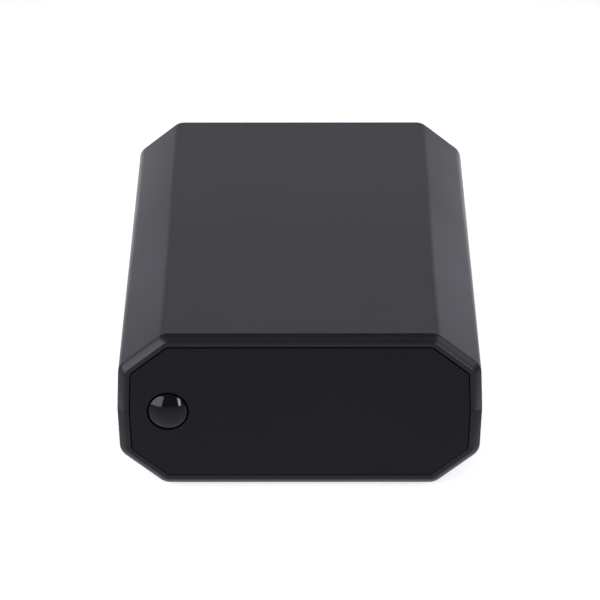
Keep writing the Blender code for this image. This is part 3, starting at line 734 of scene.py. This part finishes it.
def add_header_pin(bm, x, z, tip, tail, foot):
    """A square pin with a tapered tip, bent down behind the shroud to its foot."""
    half, thin, slope = 0.32 * MM, 0.18 * MM, 0.5 * MM
    outline = [(tip, z + thin), (tip, z - thin), (tip - slope, z - half), (tail + half, z - half)]
    outline += [(tail + half, foot), (tail - half, foot)]
    outline += [(tail - half, z + half), (tip - slope, z + half)]
    rings = []
    for side in (-1, 1):
        rings.append([(x + side * (thin if y == tip else half), y, level) for y, level in outline])
    add_loft(bm, rings)


def probe_header(letter):
    """A moulded shroud with a key slot, and its gold-plated pins with tapered tips."""
    cad_node = f"probe_header_{letter}"
    low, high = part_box(cad_node)
    middle = (low + high) / 2
    wall, half_key, pitch = 1.25 * MM, 2.25 * MM, 2.54 * MM
    back = high.y - 9.0 * MM
    inside, mouth = back + 2.5 * MM, high.y + wall
    bm = bmesh.new()
    add_box(bm, (low.x, back, low.z), high)
    shroud = new_piece(f"{cad_node}_shroud", bm, MATERIALS["header"])
    cavity = bmesh.new()
    corner = (high.x - wall, mouth, high.z - wall)
    add_box(cavity, (low.x + wall, inside, low.z + wall), corner)
    cut(shroud, cavity)
    key = bmesh.new()
    corner = (middle.x + half_key, mouth, high.z + wall)
    add_box(key, (middle.x - half_key, inside, high.z - 2 * wall), corner)
    cut(shroud, key)
    round_edges(shroud, 0.15 * MM, 2)
    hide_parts(cad_node)
    pins = bmesh.new()
    for column in range(8):
        x = middle.x + (column - 3.5) * pitch
        for row in (0, 1):
            z = middle.z + (row - 0.5) * pitch
            tail = back - 2.0 * MM - row * pitch
            add_header_pin(pins, x, z, high.y - wall, tail, low.z)
    obj = new_piece(f"{cad_node}_pins", pins, MATERIALS["gold"])


# ------------------------ parts on the circuit board

SIDES = {
    "left": Vector((-1, 0, 0)),
    "right": Vector((1, 0, 0)),
    "front": Vector((0, -1, 0)),
    "rear": Vector((0, 1, 0)),
}


def board_piece(name, bm, finish, cad_node):
    """A piece on the board, which may replace a CAD node."""
    obj = new_piece(name, bm, MATERIALS[finish])
    if cad_node:
        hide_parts(cad_node)
    return obj


def rectangle(low, high, inset, z, corner=0.0):
    """The corners of a rectangle at one height, pulled in and with its corners cut off."""
    left, right, front, rear = low.x + inset, high.x - inset, low.y + inset, high.y - inset
    if not corner:
        return [(left, front, z), (right, front, z), (right, rear, z), (left, rear, z)]
    points = [(left + corner, front), (right - corner, front)]
    points += [(right, front + corner), (right, rear - corner)]
    points += [(right - corner, rear), (left + corner, rear)]
    points += [(left, rear - corner), (left, front + corner)]
    return [(x, y, z) for x, y in points]


def add_leads(bm, low, high, side, count, pitch, reach, width):
    """Gull-wing leads along one side of a chip, from inside its body down to the board."""
    out = SIDES[side]
    along = Vector((-out.y, out.x, 0))
    middle = (low + high) / 2
    half = abs(out.dot(high - low)) / 2
    wall, shoulder = half - reach, (BOARD_TOP + high.z) / 2
    root, thick, foot = wall - 0.3 * MM, 0.14 * MM, LEAD_FOOT
    outline = [(root, shoulder), (wall + 0.3 * reach, shoulder)]
    outline += [(wall + 0.6 * reach, foot + thick), (half, foot + thick)]
    outline += [(half, foot), (wall + 0.5 * reach, foot)]
    outline += [(wall + 0.2 * reach, shoulder - thick), (root, shoulder - thick)]
    for i in range(count):
        place = Vector((middle.x, middle.y, 0)) + along * (i - (count - 1) / 2) * pitch
        rings = []
        for edge in (place - along * width / 2, place + along * width / 2):
            rings.append([edge + out * reached + Vector((0, 0, z)) for reached, z in outline])
        add_loft(bm, rings)


def chip(name, leads, reach, pitch, width):
    """A moulded chip with drafted sides, a dimple at its first pin, and leads on the sides given.

    A lead that is alone on its side is a tab, four times as wide.
    """
    low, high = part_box(name)
    margin = {side: reach if side in leads else 0 for side in SIDES}
    body_low = Vector((low.x + margin["left"], low.y + margin["front"], 0))
    body_high = Vector((high.x - margin["right"], high.y - margin["rear"], 0))
    draft, base = 0.12 * MM, BOARD_TOP + 0.12 * MM
    levels = ((base, draft), ((BOARD_TOP + high.z) / 2, 0.0), (high.z, draft))
    bm = bmesh.new()
    add_loft(bm, [rectangle(body_low, body_high, inset, z) for z, inset in levels])
    body = board_piece(f"{name}_body", bm, "chip", name)
    size = 0.09 * min(body_high.x - body_low.x, body_high.y - body_low.y)
    spot = (body_low.x + 2.2 * size, body_low.y + 2.2 * size, 0.0)
    under, over = high.z - 0.1 * MM, high.z + 0.1 * MM
    profile = [(under, 0.0), (under, 0.6 * size), (over, size), (over, 0.0)]
    dimple = bmesh.new()
    add_turned(dimple, profile, spot, sides=24)
    cut(body, dimple)
    round_edges(body, 0.05 * MM, 2)
    bm = bmesh.new()
    for side, count in leads.items():
        lead_width = width * 4.0 if count == 1 else width
        add_leads(bm, low, high, side, count, pitch, reach, lead_width)
    board_piece(f"{name}_leads", bm, "tin", None)


def chips():
    """All chips: how many leads on which sides, then the leads' reach, pitch and width."""
    chip("fpga_chip", dict.fromkeys(SIDES, 26), 1.0 * MM, 0.65 * MM, 0.28 * MM)
    chip("usb_controller_chip", dict.fromkeys(SIDES, 12), 0.9 * MM, 0.5 * MM, 0.22 * MM)
    for number in (1, 2):
        leads = {"left": 22, "right": 22}
        chip(f"sample_memory_chip_{number}", leads, 0.8 * MM, 0.8 * MM, 0.34 * MM)
    for number in (1, 2, 3, 4):
        leads = {"front": 7, "rear": 7}
        chip(f"input_buffer_chip_{number}", leads, 1.0 * MM, 1.27 * MM, 0.42 * MM)
    leads = {"left": 3, "right": 3}
    chip("configuration_memory_chip", leads, 0.8 * MM, 1.1 * MM, 0.40 * MM)
    chip("voltage_regulator", {"front": 3, "rear": 1}, 0.8 * MM, 2.3 * MM, 0.75 * MM)


def resistor_networks():
    """Single-in-line networks: a coated body with soft edges on a row of flat pins."""
    half_x, half_y = 0.25 * MM, 0.13 * MM
    for number in (1, 2, 3, 4):
        name = f"resistor_network_{number}"
        low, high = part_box(name)
        bm = bmesh.new()
        add_box(bm, (low.x, low.y, BOARD_TOP + 0.9 * MM), high)
        body = board_piece(f"{name}_body", bm, "coating", name)
        round_edges(body, 0.7 * MM, 4)
        pins = bmesh.new()
        middle, top = (low + high) / 2, low.z + 1.4 * MM
        front, rear = middle.y - half_y, middle.y + half_y
        for i in range(8):
            x = middle.x + (i - 3.5) * 1.27 * MM
            add_box(pins, (x - half_x, front, LEAD_FOOT), (x + half_x, rear, top))
        board_piece(f"{name}_pins", pins, "tin", None)


def clock_oscillator():
    """A black base with a metal lid on it, whose corners are cut off."""
    low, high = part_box("clock_oscillator")
    bm = bmesh.new()
    add_box(bm, (low.x, low.y, BODY_FOOT), (high.x, high.y, high.z - 0.35 * MM))
    base = board_piece("clock_oscillator_base", bm, "header", "clock_oscillator")
    round_edges(base, 0.15 * MM, 2)
    side, top = 0.35 * MM, high.z
    levels = ((side, top - 0.36 * MM), (side, top - 0.08 * MM), (0.43 * MM, top))
    bm = bmesh.new()
    add_loft(bm, [rectangle(low, high, inset, z, 0.5 * MM) for inset, z in levels])
    board_piece("clock_oscillator_lid", bm, "can", None)


def usb_crystal():
    """A can with round ends, a flange at its foot and a rounded top edge."""
    low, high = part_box("usb_crystal")
    middle, half_width = (low + high) / 2, (high.y - low.y) / 2
    run = (high.x - low.x) / 2 - half_width
    flange, soft = 0.5 * MM, 0.5 * MM
    levels = [(0.0, BOARD_TOP + 0.1 * MM), (0.0, BOARD_TOP + 0.6 * MM)]
    levels += [(flange, BOARD_TOP + 0.75 * MM)]
    for c, s in arc((0.0, 0.0), 1.0, 0.0, 90.0, 4):
        levels.append((flange + soft * (1 - c), high.z - soft + soft * s))
    rings = []
    for inset, z in levels:
        radius = half_width - inset
        right = arc((middle.x + run, middle.y), radius, -90.0, 90.0, 12)
        left = arc((middle.x - run, middle.y), radius, 90.0, 270.0, 12)
        rings.append([(x, y, z) for x, y in right + left])
    bm = bmesh.new()
    add_loft(bm, rings)
    board_piece("usb_crystal_can", bm, "can", "usb_crystal")


def filter_capacitors():
    """Electrolytic capacitors: a crimped can on a base, with a dark mark on its top."""
    soft = 0.4 * MM
    for number in (1, 2):
        name = f"filter_capacitor_{number}"
        low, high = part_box(name)
        middle, radius = (low + high) / 2, (high.x - low.x) / 2 - 0.1 * MM
        shelf, sunk = BOARD_TOP + 1.1 * MM, high.z - 0.06 * MM
        profile = [(shelf, 0.0), (shelf, radius), (shelf + 0.9 * MM, radius)]
        profile += [(shelf + 1.2 * MM, radius - 0.22 * MM), (shelf + 1.5 * MM, radius)]
        profile += [(high.z - soft, radius)]
        for r, z in arc((0.0, 0.0), soft, 20.0, 90.0, 4):
            profile.append((high.z - soft + z, radius - soft + r))
        profile += [(sunk, radius - 0.7 * MM), (sunk, 0.0)]
        bm = bmesh.new()
        add_turned(bm, profile, (middle.x, middle.y, 0.0))
        board_piece(f"{name}_can", bm, "can", name)
        bm = bmesh.new()
        add_loft(bm, [rectangle(low, high, 0.05 * MM, z, 1.1 * MM) for z in (BODY_FOOT, shelf)])
        round_edges(board_piece(f"{name}_base", bm, "header", None), 0.1 * MM, 2)
        bm = bmesh.new()
        half_moon = arc((middle.x, middle.y), radius - 0.75 * MM, 130.0, 230.0, 14)
        levels = (high.z - 0.055 * MM, high.z - 0.03 * MM)
        add_loft(bm, [[(x, y, z) for x, y in half_moon] for z in levels])
        board_piece(f"{name}_mark", bm, "header", None)


def power_inductor():
    """A ferrite block with cut corners, a ring groove in its top, and two terminals."""
    name = "power_inductor"
    low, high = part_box(name)
    middle = (low + high) / 2
    bm = bmesh.new()
    add_loft(bm, [rectangle(low, high, 0.0, z, 1.3 * MM) for z in (BOARD_TOP + 0.2 * MM, high.z)])
    core = board_piece(f"{name}_core", bm, "ferrite", name)
    inner, outer, bottom, over = 2.5 * MM, 2.9 * MM, high.z - 0.5 * MM, high.z + WALL
    profile = [(bottom, inner), (over, inner), (over, outer), (bottom, outer), (bottom, inner)]
    groove = bmesh.new()
    add_turned(groove, profile, (middle.x, middle.y, 0.0))
    bmesh.ops.remove_doubles(groove, verts=groove.verts, dist=0.001 * MM)
    cut(core, groove)
    round_edges(core, 0.12 * MM, 2)
    bm = bmesh.new()
    half_x, front, rear = 0.5 * MM, middle.y - 1.5 * MM, middle.y + 1.5 * MM
    for side in (-1, 1):
        x = middle.x + side * (high.x - low.x - 0.9 * MM) / 2
        add_box(bm, (x - half_x, front, LEAD_FOOT), (x + half_x, rear, BOARD_TOP + 0.35 * MM))
    board_piece(f"{name}_terminals", bm, "tin", None)


def reset_fuse():
    """A coated fuse with a metal cap on each end."""
    low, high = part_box("reset_fuse")
    thin, overlap, cap = 0.05 * MM, 0.3 * MM, 0.8 * MM
    bm = bmesh.new()
    corner = (high.x - thin, high.y - overlap, high.z - thin)
    add_box(bm, (low.x + thin, low.y + overlap, BOARD_TOP + 0.15 * MM), corner)
    round_edges(board_piece("reset_fuse_body", bm, "coating", "reset_fuse"), 0.1 * MM, 2)
    bm = bmesh.new()
    for near, far in ((low.y, low.y + cap), (high.y - cap, high.y)):
        add_box(bm, (low.x, near, BODY_FOOT), (high.x, far, high.z))
    round_edges(board_piece("reset_fuse_ends", bm, "tin", None), 0.1 * MM, 2)


# ------------------------ copper on the circuit board

# Places of leads and pins that the copper joins, in millimetres
FPGA_PITCH, MEMORY_PITCH, BUFFER_PITCH, HEADER_PITCH = 0.65, 0.8, 1.27, 2.54
BUFFERS_X = (-36.5, -22.0, -8.0, 6.0)
BUFFER_FRONT_Y, BUFFER_REAR_Y = 34.8, 41.2
HEADERS_X, HEADER_PINS_Y = (-28.0, 4.0), 62.4
FPGA_REAR_Y, FPGA_FRONT_Y = 12.2, -8.2
TRACE_WIDTH, WIDE_TRACE_WIDTH = 0.28 * MM, 0.4 * MM


def add_trace(bm, points, width=TRACE_WIDTH):
    """A strip of copper a little proud of the board, along a bent line in millimetres."""
    path = [Vector((x, y)) * MM for x, y in points]
    low, high = BOARD_TOP + 0.004 * MM, BOARD_TOP + 0.03 * MM
    rings = []
    for i, point in enumerate(path):
        before = (point - path[i - 1]).normalized() if i else None
        after = (path[i + 1] - point).normalized() if i + 1 < len(path) else None
        run = ((before or after) + (after or before)).normalized()
        across = Vector((-run.y, run.x)) * width / 2 / max(0.5, run.dot(after or before))
        left, right = point + across, point - across
        corners = ((left, low), (right, low), (right, high), (left, high))
        rings.append([(p.x, p.y, z) for p, z in corners])
    add_loft(bm, rings)


def jog(start_x, start_y, turn_y, end_x, end_y):
    """A line along Y that steps sideways at 45 degrees."""
    step = abs(end_x - start_x)
    if step < 0.02:
        return [(start_x, start_y), (end_x, end_y)]
    down = -1 if end_y < start_y else 1
    return [(start_x, start_y), (start_x, turn_y), (end_x, turn_y + down * step), (end_x, end_y)]


def input_line(start, end, level):
    """A line from a buffer to the logic chip that runs sideways at a level, with cut corners."""
    corner = 0.8
    points = [(start, BUFFER_FRONT_Y), (start, level + corner), (start + corner, level)]
    return points + [(end - corner, level), (end, level - corner), (end, FPGA_REAR_Y)]


def board_traces():
    """The copper between the chips: sample buses, input lines from the headers, the USB pair."""
    bm = bmesh.new()
    for i in range(22):
        row = i - 10.5
        start, end = 2.0 + MEMORY_PITCH * row, 2.0 + FPGA_PITCH * row
        for side in (-1, 1):
            path = jog(start, 16.4 * side, 15.0 * side, end, 9.6 * side)
            add_trace(bm, [(y - 0.2, x) for x, y in path])
    for k in range(24):
        start = BUFFERS_X[k // 6] + (k % 6 - 2) * BUFFER_PITCH
        end = (k - 11.5) * FPGA_PITCH
        if k < 18 and end - start >= 2.0:
            add_trace(bm, input_line(start, end, 14.0 + 0.8 * k))
        else:
            add_trace(bm, jog(start, BUFFER_FRONT_Y, 31.0, end, FPGA_REAR_Y))
    for i in range(16):
        pin = HEADERS_X[i // 8] + (i % 8 - 3.5) * HEADER_PITCH
        lead = BUFFERS_X[i // 4] + (i % 4 - 1.5) * BUFFER_PITCH
        add_trace(bm, jog(pin, HEADER_PINS_Y, 51.5, lead, BUFFER_REAR_Y))
    for offset in (-0.25, 0.25):
        add_trace(bm, jog(20.0 + offset, 51.6, 53.0 - offset, 30.75 + offset, 66.0))
    for i in range(3):
        x = -1.3 + 1.3 * i
        add_trace(bm, [(x, FPGA_FRONT_Y), (x, -13.9)])
    supply = [(-9.0, FPGA_FRONT_Y), (-9.0, -20.0), (-30.0, -41.0), (-30.0, -56.0), (-32.4, -58.4)]
    add_trace(bm, supply, WIDE_TRACE_WIDTH)
    traces = new_piece("board_traces", bm, MATERIALS["trace"])


# ------------------------ parts that keep their CAD shape

# Each CAD slot's material
SLOT_FINISHES = {
    "panel_plastic": "panel", "button_plastic": "button", "case_plastic": "case",
    "foot_rubber": "rubber", "screw_steel": "steel", "spring_steel": "steel",
    "plated_steel": "plated", "white_plastic": "white", "header_plastic": "header",
    "circuit_board": "board", "chip_plastic": "chip", "can_aluminium": "can",
    "inductor_ferrite": "ferrite",
}


def finish_cad_nodes():
    """Gives every CAD node the material of its slot."""
    for entry in frame["record"]["subparts"]:
        obj = frame["nodes"][entry["node"]]
        obj.data.materials.clear()
        obj.data.materials.append(MATERIALS[SLOT_FINISHES[entry["material_slot"]]])


# ------------------------ studio

FLOOR_HALF_SIZE = 6.0
FLOOR_LEVEL = -0.05 * MM


def oval_distance(tree, scale, offset=(0.0, 0.0, 0.0)):
    """The distance from an oval's middle, as the length of scaled and moved coordinates."""
    place = node(tree, "ShaderNodeTexCoord").outputs["Object"]
    links = (("Vector", place),)
    moved = node(tree, "ShaderNodeVectorMath", links, operation="MULTIPLY_ADD")
    moved.inputs[1].default_value = scale
    moved.inputs[2].default_value = offset
    links = (("Vector", moved.outputs[0]),)
    return node(tree, "ShaderNodeVectorMath", links, operation="LENGTH").outputs["Value"]


def floor_material():
    """A matt floor that glows evenly under and round the case, with a brighter painted glow close
    round the case that fills in its contact shadow.
    """
    made = bpy.data.materials.new("studio_floor")
    made.use_nodes = True
    tree = made.node_tree
    shader = tree.nodes["Principled BSDF"]
    shader.inputs["Base Color"].default_value = (0.52, 0.52, 0.52, 1.0)
    shader.inputs["Roughness"].default_value = 0.9
    shader.inputs["Specular IOR Level"].default_value = 0.1
    shader.inputs["Emission Color"].default_value = (1.0, 1.0, 1.0, 1.0)
    away = oval_distance(tree, (0.8, 1.0, 1.0), (0.0, -0.09, 0.0))
    close = oval_distance(tree, (1.0, 0.74, 1.0))
    broad = ramp(tree, away, low=0.56, high=0.0, start=0.19, end=0.32)
    # Painted light: extra glow on the floor close round the case, which fills in the case's
    # contact shadow.
    small = ramp(tree, close, low=0.13, high=0.0, start=0.05, end=0.13)
    glow = math_node(tree, "ADD", broad, small)
    tree.links.new(glow, shader.inputs["Emission Strength"])
    return made


def floor():
    """A wide plane just under the feet."""
    mesh = bpy.data.meshes.new("studio_floor")
    turns = ((-1, -1), (1, -1), (1, 1), (-1, 1))
    corners = [(x * FLOOR_HALF_SIZE, y * FLOOR_HALF_SIZE, FLOOR_LEVEL) for x, y in turns]
    mesh.from_pydata(corners, [], [(0, 1, 2, 3)])
    mesh.materials.append(floor_material())
    obj = bpy.data.objects.new("studio_floor", mesh)
    bpy.context.scene.collection.objects.link(obj)


LIGHT_TINT = (0.99, 0.965, 1.09)


def area_light(name, place, target, size, radiance):
    """A rectangular light of a given brightness, which the camera doesn't see."""
    data = bpy.data.lights.new(name, "AREA")
    data.shape = "RECTANGLE"
    data.size, data.size_y = size
    data.energy = radiance * math.pi * size[0] * size[1]
    data.color = LIGHT_TINT
    obj = bpy.data.objects.new(name, data)
    obj.location = place
    obj.rotation_euler = (Vector(target) - Vector(place)).to_track_quat("-Z", "Y").to_euler()
    obj.visible_camera = False
    bpy.context.scene.collection.objects.link(obj)


def towards(azimuth, elevation, distance):
    """A place round the object; azimuth 0 is in front and 90 on the right."""
    a, e = math.radians(azimuth), math.radians(elevation)
    return distance * Vector((math.sin(a) * math.cos(e), -math.cos(a) * math.cos(e), math.sin(e)))


# Name, azimuth, elevation, distance, size and radiance
LIGHTS = (
    ("left_softbox", -52, 19, 1.5, (1.7, 1.0), 6.2),
    ("right_strip", 38, 14, 1.5, (0.20, 0.7), 21.0),
    ("right_top", 72, 36, 1.6, (0.8, 0.8), 3.6),
    ("front_top", 0, 60, 1.6, (1.2, 0.7), 0.45),
    ("back_top", 180, 52, 1.6, (1.6, 0.8), 0.6),
    ("left_back", -140, 14, 1.6, (0.8, 0.7), 0.72),
    ("right_back", 140, 14, 1.6, (0.8, 0.7), 1.0),
)


def lights():
    """A softbox at the front left, a strip at the front right, weaker light from elsewhere."""
    middle = (0.0, 0.0, 0.02)
    for name, azimuth, elevation, distance, size, radiance in LIGHTS:
        area_light(name, towards(azimuth, elevation, distance), middle, size, radiance)


def sky():
    """A dim world that is brighter behind the object and higher up."""
    world = bpy.data.worlds.new("studio")
    bpy.context.scene.world = world
    world.use_nodes = True
    tree = world.node_tree
    background = tree.nodes["Background"]
    place = node(tree, "ShaderNodeTexCoord").outputs["Generated"]
    split = node(tree, "ShaderNodeSeparateXYZ", (("Vector", place),))
    rear = ramp(tree, split.outputs["Y"], 0.0, 1.0, 0.0, 0.6)
    height = ramp(tree, split.outputs["Z"], -0.08, 0.70, 0.0, 0.62)
    glow = math_node(tree, "ADD", math_node(tree, "MULTIPLY", rear, height), 0.32)
    background.inputs["Color"].default_value = (*LIGHT_TINT, 1.0)
    tree.links.new(glow, background.inputs["Strength"])


# Camera, with its angles in degrees
SENSOR_WIDTH_MM, LENS_MM = 36.0, 212.7
CAMERA_PLACE = (0.0014, -0.9336, 0.4753)
CAMERA_TILT, CAMERA_TURN, CAMERA_ROLL = 25.91, 0.087, -0.066


def camera():
    """A long lens from the front, looking down at the case."""
    data = bpy.data.cameras.new("camera")
    data.sensor_width = SENSOR_WIDTH_MM
    data.lens = LENS_MM
    data.clip_end = 20.0
    obj = bpy.data.objects.new("camera", data)
    obj.location = CAMERA_PLACE
    tilt = Matrix.Rotation(math.radians(90.0 - CAMERA_TILT), 3, "X")
    turn = Matrix.Rotation(math.radians(CAMERA_TURN), 3, "Z")
    roll = Matrix.Rotation(math.radians(CAMERA_ROLL), 3, "Z")
    obj.rotation_euler = (turn @ tilt @ roll).to_euler()
    bpy.context.scene.collection.objects.link(obj)
    bpy.context.scene.camera = obj


camera()
finish_cad_nodes()
upper_shell()
lower_shell()
front_panel()
rear_panel()
start_button()
feet()
screws()
usb_socket()
for header in "ab":
    probe_header(header)
chips()
resistor_networks()
clock_oscillator()
usb_crystal()
filter_capacitors()
power_inductor()
reset_fuse()
board_traces()
floor()
lights()
sky()
bpy.context.scene.view_settings.view_transform = "Standard"
